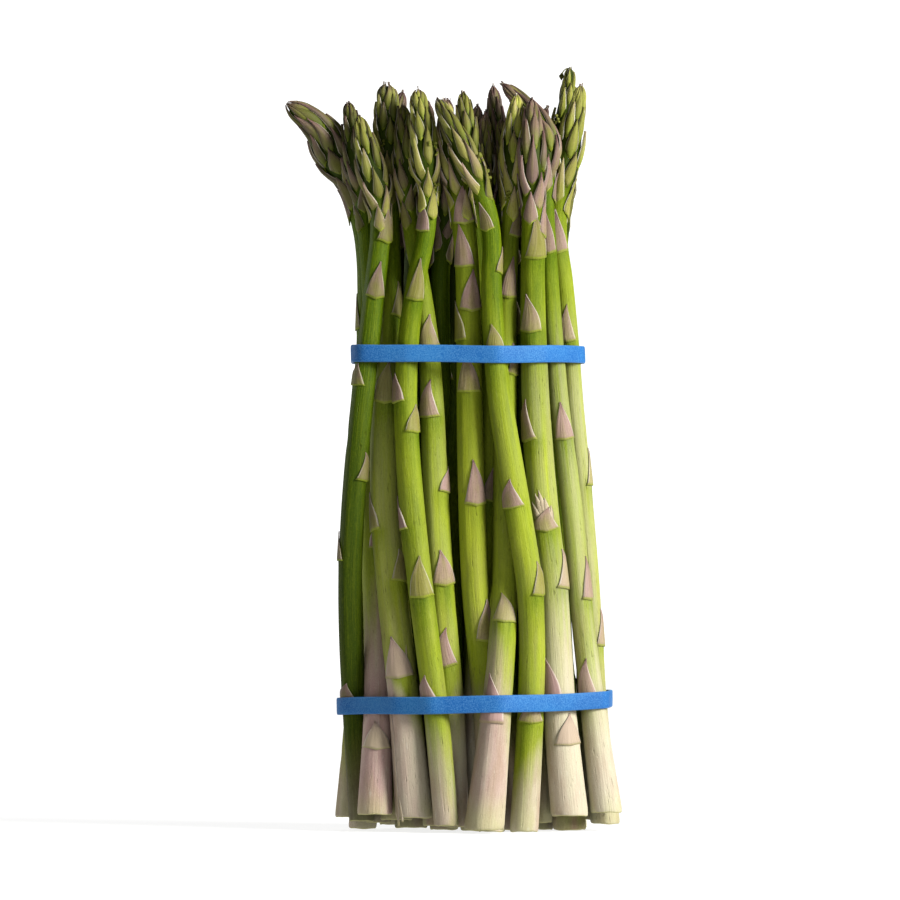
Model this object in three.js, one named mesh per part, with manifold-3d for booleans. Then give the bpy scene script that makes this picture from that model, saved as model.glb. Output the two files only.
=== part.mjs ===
// A bundle of asparagus: spears of one bunch, held upright by two rubber bands and standing on their
// cut ends.
// Units are millimetres. +Z is up, +X runs along the bundle's long side and -Y is its front.
// The origin is on the floor, in the middle of the cut end of the spear at the heart of the bundle.
// Each spear grew as one piece, so it is one solid: a bowed stem, its scale leaves and a bud of closed
// scales.

import * as THREE from "three";
import Module from "manifold-3d";

// ---- driving dimensions -------------------------------------------------------------------------

const STATIONS = [0, 40, 75, 107, 140, 172, 200]; // heights at which the tables give a spear's place
const CENTRE_X = [0, -0.6, -2.4, -2.9, -2.3, -2.4, -1.5]; // the bundle's middle at each station
const WIDTH = [92, 86, 82, 79, 75, 71, 74]; // the bundle's width at each station
const DEPTH = [62, 54, 48, 46, 42, 40, 44]; // and its depth
const MIDDLE_STATION = 3; // the station at which a spear's depth, and a hidden spear's place, are given

const STEM_LEVELS = [20, 40, 60, 80, 100, 120, 140, 160, 180]; // heights at which a stem can bend
const UPPER_LEVELS = 8; // further ones, from the last of those to the tip of the bud
const SCALE_RISE = 0.42; // how far a scale leaf stands out of its stem
const SCALE_HALF_ANGLE = 52; // a scale leaf's base reaches this far round the stem to either side, in degrees
const SCALE_ROOT = 0.5; // how deep a scale leaf is rooted under the flats of its stem
const GAP = 0.16; // half of the least air between two spears

const SIDES = 8; // of a stem, and columns of scales on a bud
const MESH_LEVELS = [24, 52, 84, 116, 146, 170, 188]; // heights of a stem's cross-sections
const BUD_ROWS = 5; // rows of scales on a bud, with a scale on every other column

const BAND_WIDTH = 5.6;
const BAND_THICKNESS = 1.1;
const BAND_CLEARANCE = 0.4; // between a band and the widest scale leaf under it
const BANDS = [
  { name: "band_lower", height: 41.5, slope: 0.028 }, // slope: its climb for each millimetre to the right
  { name: "band_upper", height: 154.5, slope: 0 },
];

const COLOURS = { band: 0x3d82d2, spears: [0x8fae3c, 0x7f9f38, 0x9cb455, 0x86a545] };
const ROUGHNESS = { band: 0.45, spear: 0.5 };
const TURN_STEP = 137.5; // degrees from one scale to the next round a stem, and from spear to spear

// The spears whose whole length shows at the front, from left to right.
// foot: height of the cut end. r: radius at the foot, at mid-height and at the neck.
// x: place at each station.
// y: depth at each station, or one depth for all. tip: the bud's tip.
// bud: [height, largest radius, and on a blunt bud the share of its height at which it is widest and the
// radius of its tip as a share of the largest].
// via: a place between the last station and the tip, on a bud that bends over.
// scales: [height, degrees round the stem from the front, positive to the right, length].
const FRONT_SPEARS = [
  {
    name: "a", foot: 3, r: [4.2, 3.8, 3.3], tip: [-37.8, -22, 232], bud: [33, 5.2],
    x: [-36.6, -38.8, -40.0, -38.8, -35.8, -32.4, -30.4], y: [-13, -11, -15, -18, -18, -17, -17],
    scales: [[173, 10, 11], [144, -50, 7], [114, 60, 9], [88, -90, 9], [43, -40, 6]],
  },
  {
    name: "l", foot: 4, r: [4.5, 3.9, 3.3], via: [-50, -8, 228], tip: [-61.5, -9, 236.6],
    bud: [31, 6.7, 0.5, 0.34],
    x: [-41.0, -37.4, -36.6, -36.8, -35.2, -34.0, -37.0], y: [-5, -1, -4, -5, -5, -4, -4],
    scales: [[163, -90, 12], [121, 170, 11], [70, -60, 12]],
  },
  {
    name: "b", foot: 5.5, r: [5.8, 3.8, 2.8], tip: [-41.3, -3, 237], bud: [34, 4.6],
    x: [-32.0, -31.0, -32.0, -33.3, -32.6, -33.3, -35.9], y: [-24, -19, -9, -7, -7, -7, -6],
    scales: [[150, 120, 10], [92, 40, 11], [27, 0, 8]],
  },
  {
    name: "c", foot: 4.5, r: [6.2, 4.7, 3.1], tip: [-28.7, -7, 243], bud: [35, 4.8, 0.5, 0.5],
    x: [-20.0, -23.6, -27.5, -30.0, -30.0, -28.1, -28.1], y: [-23, -20, -18, -17, -16, -14, -10],
    scales: [[139, 0, 13], [98, -80, 12], [81, 55, 10], [50, -10, 13], [167, 60, 11]],
  },
  {
    name: "d", foot: 2.2, r: [4.1, 4.1, 2.9], tip: [-18.7, -25, 240.5], bud: [35, 4.9, 0.34, 0.4],
    x: [-8.6, -12.3, -16.8, -20.3, -22.3, -20.0, -15.2], y: -21,
    scales: [[172, 10, 13], [139, -60, 9], [129, 50, 9], [98, -85, 11], [76, 5, 13], [43, -45, 8]],
  },
  {
    name: "e", foot: 1.5, r: [4.6, 4.3, 2.6], tip: [-23.3, -14, 235.8], bud: [34, 4.5],
    x: [-2.9, -4.8, -8.4, -10.7, -12.3, -15.2, -20.7], y: [-13, -16, -18, -18, -17, -16, -16],
    scales: [[157, 10, 10], [134, -20, 12], [110, 70, 8], [80, 20, 11], [54, -10, 12]],
  },
  {
    name: "f", foot: 0, r: [4.4, 4.3, 3.8], tip: [-10, -15, 237.4], bud: [35, 4.8],
    x: [1.0, 0.6, -1.6, -2.6, -2.9, -2.9, -4.2], y: [-13, -15, -18, -20, -18, -17, -18],
    scales: [[183, -20, 14], [169, 15, 13], [159, -70, 13], [142, -5, 13], [106, 20, 14], [62, 40, 13]],
  },
  {
    name: "n", foot: 0, r: [4.6, 3.5, 2.8], tip: [-3.9, -2, 240.3], bud: [34, 4.5],
    x: [0.0, 0.3, 2.3, 4.2, 5.5, 2.9, -1.0], y: [-5, -6, -8, -9, -8, -8, -8],
    scales: [[107, 20, 12], [62, -30, 12], [160, 40, 11]],
  },
  {
    name: "m", foot: 1, r: [6.7, 4.0, 2.8], tip: [13.6, -20, 239], bud: [34, 4.7],
    x: [2.6, 6.8, 9.3, 9.6, 9.7, 10.3, 12.0], y: [-27, -21, -15, -13, -13, -13, -15],
    scales: [[173, 10, 13], [148, 60, 10], [67, 2, 9], [35, -25, 16]],
  },
  {
    name: "g", foot: 0, r: [4.7, 4.2, 2.9], tip: [-12.3, -29, 237.4], bud: [34, 4.3],
    x: [15.8, 17.4, 17.1, 12.6, 7.4, 4.8, 3.9], y: -23,
    scales: [[181, 75, 8], [155, 0, 9], [105, -25, 9], [77, 60, 10], [36, 5, 7]],
  },
  {
    name: "h", foot: 5, r: [6.2, 4.9, 3.8], tip: [18.4, -23, 237.4], bud: [36, 5.0],
    x: [31.7, 27.8, 25.8, 22.3, 20.0, 19.1, 19.1], y: -20,
    scales: [
      [186, 20, 14], [162, -15, 12], [127, -55, 13], [98, 5, 7], [79, 75, 12], [43, -40, 14], [28, 25, 10],
    ],
  },
  {
    name: "i", foot: 6, r: [5.3, 3.4, 2.6], via: [21.5, -8, 228], tip: [9, -5, 243], bud: [34, 5.0],
    x: [42.6, 37.5, 33.6, 30.7, 26.8, 24.5, 22.9], y: -14,
    scales: [[188, 0, 13], [127, 10, 12], [75, 60, 14], [43, -20, 13]],
  },
  {
    name: "j", foot: 2, r: [5.0, 3.3, 3.1], tip: [34.6, -13, 242.3], bud: [38, 4.9],
    x: [41.3, 38.0, 36.2, 33.8, 30.8, 28.4, 25.8], y: -6,
    scales: [[188, -5, 14], [159, -10, 12], [112, 80, 12], [60, 70, 12]],
  },
  {
    name: "k", foot: 3, r: [4.8, 3.3, 2.7], tip: [31.3, 11, 249], bud: [38, 4.4],
    x: [36.5, 36.4, 36.4, 34.4, 31.4, 28.8, 25.6], y: [6, 6, 5, 4, 5, 6, 8],
    scales: [[178, 60, 11], [130, 85, 11], [84, 95, 12]],
  },
];

// The spears behind those: one row for each depth, with their places at mid-height from left to right and the
// heights between which their tips lie.
const HIDDEN_ROWS = [
  { y: -9, x: [-19, -10, 17], tips: [213, 224] },
  { y: 0, x: [-26, -16, -7, 2, 11, 19, 24], tips: [224, 236] },
  { y: 9, x: [-29, -20, -11, -2, 7, 16, 25], tips: [226, 243] },
  { y: 17, x: [-17, -7, 5], tips: [226, 243] },
];
const MIDDLE_SPEAR = "2_4"; // the hidden spear whose foot stands on the origin
const RANDOM_SEED = 7;

// ---- curves -------------------------------------------------------------------------------------

// A smooth curve through values given at rising positions, with the slope at each taken from its neighbours.
function through(positions, values, at) {
  const last = positions.length - 1;
  let k = 0;
  while (k < last - 1 && at > positions[k + 1]) k += 1;
  const slope = (n) => {
    const low = Math.max(n - 1, 0);
    const high = Math.min(n + 1, last);
    return (values[high] - values[low]) / (positions[high] - positions[low]);
  };
  const span = positions[k + 1] - positions[k];
  const t = (at - positions[k]) / span;
  const t2 = t * t;
  const t3 = t2 * t;
  return (
    (2 * t3 - 3 * t2 + 1) * values[k] +
    (t3 - 2 * t2 + t) * span * slope(k) +
    (3 * t2 - 2 * t3) * values[k + 1] +
    (t3 - t2) * span * slope(k + 1)
  );
}

// ---- how thick a spear is -----------------------------------------------------------------------

const NECK_LEVEL = 195; // the height above which a stem narrows no further
const TAPER_HEIGHTS = [0, 45, 115, NECK_LEVEL]; // a stem swells to its foot and narrows to its neck
const SWELL_LEFT = 0.3; // the share of the foot's swelling that is left at the second of those heights
const BUD_WIDEST = 0.34; // the share of a bud's height at which it is widest
const BUD_TIP = 0.24; // the radius of its tip, as a share of the largest
const BUD_RELIEF = 1.08; // how far the tips of its scales stand out, as a share of its radius

function stemRadius(spear, height) {
  const [foot, middle, neck] = spear.r;
  const radii = [foot, middle + (foot - middle) * SWELL_LEFT, middle, neck];
  return through(TAPER_HEIGHTS, radii, Math.min(height, NECK_LEVEL));
}

function budRadius(spear, share) {
  const [, largest, widest = BUD_WIDEST, tip = BUD_TIP] = spear.bud;
  const neck = spear.r[2];
  if (share < widest) {
    const t = share / widest;
    return neck + (largest - neck) * t * t * (3 - 2 * t);
  }
  const t = (share - widest) / (1 - widest);
  return largest * (1 - (1 - tip) * t * Math.sqrt(t));
}

const neckHeight = (spear) => spear.tip[2] - spear.bud[0];

function radiusAt(spear, height) {
  const share = (height - neckHeight(spear)) / spear.bud[0];
  return share < 0 ? stemRadius(spear, height) : budRadius(spear, Math.min(share, 1));
}

// ---- where the spears stand ---------------------------------------------------------------------

// Random numbers from 0 to 1 that are the same on every run.
function randomFrom(seed) {
  let state = seed;
  return () => {
    state = (state * 16807) % 2147483647;
    return state / 2147483647;
  };
}

// The spears behind the front ones: each keeps its share of the bundle's width and depth on its way up.
function hiddenSpears() {
  const random = randomFrom(RANDOM_SEED);
  const between = (low, high) => low + (high - low) * random();
  const spears = [];
  HIDDEN_ROWS.forEach((row, rowNumber) => {
    row.x.forEach((middleX, place) => {
      const name = `${rowNumber + 1}_${place + 1}`;
      const across = (middleX - CENTRE_X[MIDDLE_STATION]) / WIDTH[MIDDLE_STATION];
      const deep = row.y / DEPTH[MIDDLE_STATION];
      const x = STATIONS.map((_, k) => CENTRE_X[k] + across * WIDTH[k] + between(-1.2, 1.2));
      const y = STATIONS.map((_, k) => deep * DEPTH[k] + between(-1.2, 1.2));
      const spread = [across * between(-8, 6) + between(-4, 4), deep * between(10, 30) + between(-4, 4)];
      const bud = [between(31, 36), between(4.1, 4.9)];
      const tip = [x[6] + spread[0], y[6] + spread[1], between(...row.tips)];
      const r = [between(4.2, 5.8), between(3.6, 4.4), between(2.7, 3.3)];
      const foot = Math.max(between(-3, 4), 0);
      const outside = deep > 0.15 || Math.abs(across) > 0.36;
      const scales = [];
      for (let height = between(28, 55); height < 186; height += outside ? between(34, 44) : 110) {
        scales.push([height, (scales.length * TURN_STEP + place * 80) % 360, between(10, 13)]);
      }
      spears.push({ name, x, y, r, foot: name === MIDDLE_SPEAR ? 0 : foot, tip, bud, scales, hidden: true });
    });
  });
  return spears;
}

// A spear's axis is a curve over the height: its places at the levels where it can bend.
function axisOf(spear) {
  const top = STEM_LEVELS[STEM_LEVELS.length - 1];
  const levels = [spear.foot, ...STEM_LEVELS];
  for (let k = 1; k <= UPPER_LEVELS; k += 1) levels.push(top + ((spear.tip[2] - top) * k) / UPPER_LEVELS);
  const deepens = (depth) => (spear.y * depth) / DEPTH[MIDDLE_STATION];
  const depths = Array.isArray(spear.y) ? spear.y : DEPTH.map(deepens);
  const upper = spear.via ? [spear.via, spear.tip] : [spear.tip];
  const given = [...STATIONS, ...upper.map((place) => place[2])];
  const x = levels.map((level) => through(given, [...spear.x, ...upper.map((place) => place[0])], level));
  const y = levels.map((level) => through(given, [...depths, ...upper.map((place) => place[1])], level));
  return { levels, x, y };
}

// How far each level of a spear keeps its neighbours off.
function roomOf(spear, axis) {
  return axis.levels.map((level) => {
    const onBud = level > neckHeight(spear);
    return onBud ? radiusAt(spear, level) * BUD_RELIEF + GAP : radiusAt(spear, level) + SCALE_RISE + GAP;
  });
}

const SETTLE_ROUNDS = 360;
const SQUEEZE_ROUNDS = 150; // rounds in which the bands still pull
const SQUEEZE = 0.006; // the share of its depth that the bunch loses in one of them
const STIFF_ROUNDS = 330; // rounds in which a bend is evened out
const EVEN_OUT = 0.3; // how far a bend is evened out in one round
const FRONT_HOLD = 0.03; // how freely a front spear moves sideways
const LEVELS_NEAR = 3; // levels above and below at which two spears can touch among the buds
const LEVEL_REACH = 3.6; // half the height between two levels there

// Lets the spears find their places: the bands squeeze them together, and none may enter another.
function settle(spears) {
  const axes = spears.map(axisOf);
  const starts = axes.map((axis) => ({ x: [...axis.x], y: [...axis.y] }));
  const rooms = spears.map((spear, i) => roomOf(spear, axes[i]));
  const count = axes[0].levels.length;
  const lastStem = STEM_LEVELS.length;

  // How freely a point moves along x and along y: the middle spear's foot stays where it is.
  const freedom = (i, k) => {
    if (spears[i].name === MIDDLE_SPEAR && k === 0) return [0, 0];
    return [spears[i].hidden ? 1 : FRONT_HOLD, 1];
  };

  const pushApart = (i, k, j, m) => {
    const a = axes[i];
    const b = axes[j];
    const dx = a.x[k] - b.x[m];
    const dy = a.y[k] - b.y[m];
    const apart = Math.abs(a.levels[k] - b.levels[m]);
    const dz = k <= lastStem && m <= lastStem ? 0 : Math.max(apart - LEVEL_REACH, 0);
    const need = rooms[i][k] + rooms[j][m];
    const flat = Math.sqrt(dx * dx + dy * dy);
    const overlap = Math.sqrt(Math.max(need * need - dz * dz, 0)) - flat;
    if (overlap <= 0 || flat < 1e-6) return;
    const alongX = dx / flat;
    const alongY = dy / flat;
    const [aX, aY] = freedom(i, k);
    const [bX, bY] = freedom(j, m);
    const push = overlap / ((aX + bX) * alongX * alongX + (aY + bY) * alongY * alongY);
    a.x[k] += push * aX * alongX;
    a.y[k] += push * aY * alongY;
    b.x[m] -= push * bX * alongX;
    b.y[m] -= push * bY * alongY;
  };

  for (let round = 0; round < SETTLE_ROUNDS; round += 1) {
    axes.forEach((axis, i) => {
      if (round < SQUEEZE_ROUNDS) axis.y = axis.y.map((y) => y * (1 - SQUEEZE));
      if (round < STIFF_ROUNDS) {
        evenOut(axis.x, starts[i].x);
        evenOut(axis.y, starts[i].y);
      }
      if (spears[i].name === MIDDLE_SPEAR) {
        axis.x[0] = 0;
        axis.y[0] = 0;
      }
    });
    for (let i = 0; i < axes.length; i += 1) {
      for (let j = i + 1; j < axes.length; j += 1) {
        for (let k = 0; k < count; k += 1) {
          const low = k < lastStem ? k : Math.max(k - LEVELS_NEAR, lastStem);
          const high = k < lastStem ? k : Math.min(k + LEVELS_NEAR, count - 1);
          for (let m = low; m <= high; m += 1) pushApart(i, k, j, m);
        }
      }
    }
  }
  return axes;
}

// A stem is stiff: how far each of its levels was moved is evened out along it.
function evenOut(places, start) {
  const moved = places.map((place, k) => place - start[k]);
  for (let k = 1; k < places.length - 1; k += 1) {
    places[k] += EVEN_OUT * ((moved[k - 1] + moved[k + 1]) / 2 - moved[k]);
  }
}

// ---- solids -------------------------------------------------------------------------------------

const TANGENT_STEP = 0.5;

// A point beside a spear's axis: angle is in degrees round it from the front, positive to the right.
function beside(axis, height, angle, radius) {
  const at = (z) => new THREE.Vector3(through(axis.levels, axis.x, z), through(axis.levels, axis.y, z), z);
  const along = at(height + TANGENT_STEP).sub(at(height - TANGENT_STEP)).normalize();
  const back = new THREE.Vector3(0, 1, 0);
  back.addScaledVector(along, -back.dot(along)).normalize();
  const right = back.clone().cross(along);
  const turn = THREE.MathUtils.degToRad(angle);
  const point = at(height).addScaledVector(right, radius * Math.sin(turn));
  return point.addScaledVector(back, -radius * Math.cos(turn));
}

// A closed body from rings of points that run anticlockwise seen from above, up to one point at the top.
function loft(rings, top) {
  const sides = rings[0].length;
  const points = [...rings.flat(), top];
  const faces = [];
  for (let c = 1; c < sides - 1; c += 1) faces.push([0, c + 1, c]);
  for (let r = 0; r < rings.length - 1; r += 1) {
    for (let c = 0; c < sides; c += 1) {
      const low = r * sides + c;
      const lowNext = r * sides + ((c + 1) % sides);
      faces.push([low, lowNext, lowNext + sides], [low, lowNext + sides, low + sides]);
    }
  }
  const last = (rings.length - 1) * sides;
  for (let c = 0; c < sides; c += 1) faces.push([last + c, last + ((c + 1) % sides), points.length - 1]);
  return { points, faces };
}

// The scales of a bud stand out of it in rows. Each row is a hem drawn in to the bud's core, then a zigzag of
// tips, on the columns that have a scale, and of the notches between them.
const ROW_START = 0.04; // the share of the bud's height at which the first row begins
const ROW_STEP = 0.18;
const TIP_REACH = 1.15; // a scale's length, in row steps
const NOTCH_REACH = 0.6;
const HEM_RISE = 0.05; // the next hem's height above a tip or a notch, in row steps
const CORE = 0.86; // the radii of a hem and of a notch, as shares of the bud's
const NOTCH = 0.95;

function budRings(spear, axis) {
  const columns = [...Array(SIDES).keys()];
  const neck = neckHeight(spear);
  const place = (column, steps, share) => {
    const along = ROW_START + steps * ROW_STEP;
    const angle = spear.turn + (column * 360) / SIDES;
    return beside(axis, neck + along * spear.bud[0], angle, share * budRadius(spear, Math.min(along, 1)));
  };
  const rings = [columns.map((column) => place(column, 0, 1))];
  for (let row = 0; row < BUD_ROWS; row += 1) {
    const hasScale = (column) => (column + row) % 2 === 0;
    const reach = (column) => row + (hasScale(column) ? TIP_REACH : NOTCH_REACH);
    rings.push(columns.map((column) => place(column, reach(column), hasScale(column) ? BUD_RELIEF : NOTCH)));
    if (row === BUD_ROWS - 1) break;
    rings.push(columns.map((column) => place(column, reach(column) + HEM_RISE, CORE)));
  }
  return rings;
}

function stemRings(spear, axis) {
  const neck = neckHeight(spear);
  const heights = [...MESH_LEVELS.filter((level) => level < neck - 8), neck - 4];
  const angles = [...Array(SIDES).keys()].map((column) => spear.turn + (column * 360) / SIDES);
  const rings = heights.map((height) => angles.map((a) => beside(axis, height, a, radiusAt(spear, height))));
  // The foot is cut square to the floor, so all its corners are at one height.
  const foot = angles.map((angle) => {
    const corner = beside(axis, spear.foot, angle, spear.r[0]);
    corner.z = spear.foot;
    return corner;
  });
  return [foot, ...rings];
}

// One scale leaf: a thin blade that clasps the stem, with a ridge from the middle of its wide base to
// its tip.
function scaleLeaf(spear, axis, [height, angle, length]) {
  const flat = Math.cos(Math.PI / SIDES);
  const outside = (z, turn) => beside(axis, z, angle + turn, radiusAt(spear, z) + SCALE_RISE);
  const inside = (z, turn) => beside(axis, z, angle + turn, radiusAt(spear, z) * flat - SCALE_ROOT);
  const base = [-SCALE_HALF_ANGLE, 0, SCALE_HALF_ANGLE].map((turn) => [height, turn]);
  const corners = [...base, [height + length, 0]];
  const points = [outside, inside].flatMap((side) => corners.map(([z, turn]) => side(z, turn)));
  const front = [[0, 1, 3], [1, 2, 3]];
  const faces = [...front, ...front.map(([a, b, c]) => [a + 4, c + 4, b + 4])];
  for (let k = 0; k < 4; k += 1) {
    const next = (k + 1) % 4;
    faces.push([next, k, k + 4], [next, k + 4, next + 4]);
  }
  return { points, faces };
}

// The path of a band round the bunch: the corners of the taut outline, each as a spear and a direction
// from it.
const OUTLINE_DIRECTIONS = 12;

function tautOutline(spears, axes, band) {
  const corners = [];
  axes.forEach((axis, i) => {
    for (let k = 0; k < OUTLINE_DIRECTIONS; k += 1) {
      const direction = (2 * Math.PI * k) / OUTLINE_DIRECTIONS;
      const [x, y] = bandCorner(spears[i], axis, band, direction, 0, 0);
      corners.push({ spear: spears[i], axis, direction, x, y });
    }
  });
  corners.sort((a, b) => a.x - b.x || a.y - b.y);
  const half = (ordered) => {
    const chain = [];
    for (const c of ordered) {
      while (chain.length > 1) {
        const [a, b] = chain.slice(-2);
        if ((b.x - a.x) * (c.y - a.y) - (b.y - a.y) * (c.x - a.x) > 1e-3) break;
        chain.pop();
      }
      chain.push(c);
    }
    return chain.slice(0, -1);
  };
  return [...half(corners), ...half([...corners].reverse())];
}

function bandCorner(spear, axis, band, direction, above, out) {
  const level = band.height + above;
  const x = through(axis.levels, axis.x, level);
  const y = through(axis.levels, axis.y, level);
  const clear = radiusAt(spear, level) + SCALE_RISE + BAND_CLEARANCE;
  const reach = clear / Math.cos(Math.PI / OUTLINE_DIRECTIONS) + out;
  const place = [x + reach * Math.cos(direction), y + reach * Math.sin(direction)];
  return [...place, level + band.slope * place[0]];
}

// A band is a closed strip: at each corner of its path, four points round its cross-section.
function bandBody(spears, axes, band) {
  const points = tautOutline(spears, axes, band).flatMap(({ spear, axis, direction }) => {
    const at = (above, out) => new THREE.Vector3(...bandCorner(spear, axis, band, direction, above, out));
    const low = -BAND_WIDTH / 2;
    return [at(low, 0), at(low, BAND_THICKNESS), at(-low, BAND_THICKNESS), at(-low, 0)];
  });
  const faces = [];
  for (let k = 0; k < points.length; k += 4) {
    for (let c = 0; c < 4; c += 1) {
      const here = [k + c, k + ((c + 1) % 4)];
      const next = here.map((n) => (n + 4) % points.length);
      faces.push([here[0], next[0], next[1]], [here[0], next[1], here[1]]);
    }
  }
  return { points, faces };
}

// ---- the model ----------------------------------------------------------------------------------

const wasm = await Module();
wasm.setup();

function solidOf({ points, faces }) {
  const vertProperties = new Float32Array(points.flatMap((point) => point.toArray()));
  const triVerts = new Uint32Array(faces.flat());
  return new wasm.Manifold(new wasm.Mesh({ numProp: 3, vertProperties, triVerts }));
}

function meshOf(name, solid, color, roughness) {
  const { vertProperties, triVerts } = solid.getMesh();
  const geometry = new THREE.BufferGeometry();
  geometry.setAttribute("position", new THREE.BufferAttribute(new Float32Array(vertProperties), 3));
  geometry.setIndex(new THREE.BufferAttribute(new Uint32Array(triVerts), 1));
  const material = new THREE.MeshStandardMaterial({ color, roughness, metalness: 0, flatShading: true });
  const mesh = new THREE.Mesh(geometry, material);
  mesh.name = name;
  return mesh;
}

function spearMesh(spear, axis, number) {
  const tip = beside(axis, spear.tip[2], 0, 0);
  const stalk = solidOf(loft([...stemRings(spear, axis), ...budRings(spear, axis)], tip));
  const leaves = spear.scales.map((scale) => solidOf(scaleLeaf(spear, axis, scale)));
  const solid = leaves.reduce((whole, leaf) => whole.add(leaf), stalk);
  const colour = COLOURS.spears[number % COLOURS.spears.length];
  return meshOf(`spear_${spear.name}`, solid, colour, ROUGHNESS.spear);
}

const spears = [...FRONT_SPEARS, ...hiddenSpears()];
spears.forEach((spear, number) => (spear.turn = (number * TURN_STEP) % 360));
const axes = settle(spears);

const bundle = new THREE.Group();
spears.forEach((spear, number) => bundle.add(spearMesh(spear, axes[number], number)));
BANDS.forEach((band) => {
  const solid = solidOf(bandBody(spears, axes, band));
  bundle.add(meshOf(band.name, solid, COLOURS.band, ROUGHNESS.band));
});

export default bundle;
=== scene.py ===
"""The looks of a bundle of asparagus: thirty-four spears and two rubber bands, standing on their cut ends."""

import math
import random

import bmesh
import bpy
import numpy as np
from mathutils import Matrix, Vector


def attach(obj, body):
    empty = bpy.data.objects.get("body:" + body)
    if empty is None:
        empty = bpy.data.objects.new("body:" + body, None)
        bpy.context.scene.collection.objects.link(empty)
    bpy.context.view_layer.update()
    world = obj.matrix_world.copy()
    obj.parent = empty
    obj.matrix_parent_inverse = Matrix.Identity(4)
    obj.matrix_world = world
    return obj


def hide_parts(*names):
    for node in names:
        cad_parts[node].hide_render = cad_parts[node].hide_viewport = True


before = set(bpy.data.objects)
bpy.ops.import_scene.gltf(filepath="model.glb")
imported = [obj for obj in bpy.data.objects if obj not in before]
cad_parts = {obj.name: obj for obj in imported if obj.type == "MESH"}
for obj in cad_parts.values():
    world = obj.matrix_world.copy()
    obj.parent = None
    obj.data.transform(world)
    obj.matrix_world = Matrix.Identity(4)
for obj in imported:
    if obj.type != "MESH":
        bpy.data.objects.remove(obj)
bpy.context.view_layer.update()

MM = 0.001  # the tables are in millimetres, and the scene is in metres

# ---- the bundle's tables ----

STATIONS = [0, 40, 75, 107, 140, 172, 200]  # heights at which the tables give a spear's place
CENTRE_X = [0, -0.6, -2.4, -2.9, -2.3, -2.4, -1.5]  # the bundle's middle, width and depth there
WIDTH = [92, 86, 82, 79, 75, 71, 74]
DEPTH = [62, 54, 48, 46, 42, 40, 44]
MIDDLE_STATION = 3
STEM_LEVELS = [20, 40, 60, 80, 100, 120, 140, 160, 180]  # heights at which a stem can bend
UPPER_LEVELS = 8  # and how many more there are above them, up to the tip
SCALE_RISE = 0.42  # how far a scale leaf stands off its stem
GAP = 0.16  # the air that each spear keeps round it
BAND_WIDTH = 5.6
BANDS = [("band_lower", 41.5, 0.028), ("band_upper", 154.5, 0.0)]  # name, height, climb to the right
TURN_STEP = 137.5  # degrees from one scale to the next round a stem
MIDDLE_SPEAR = "2_4"  # the spear whose foot is at the origin
RANDOM_SEED = 7
DICE_SEED = 4100

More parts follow.
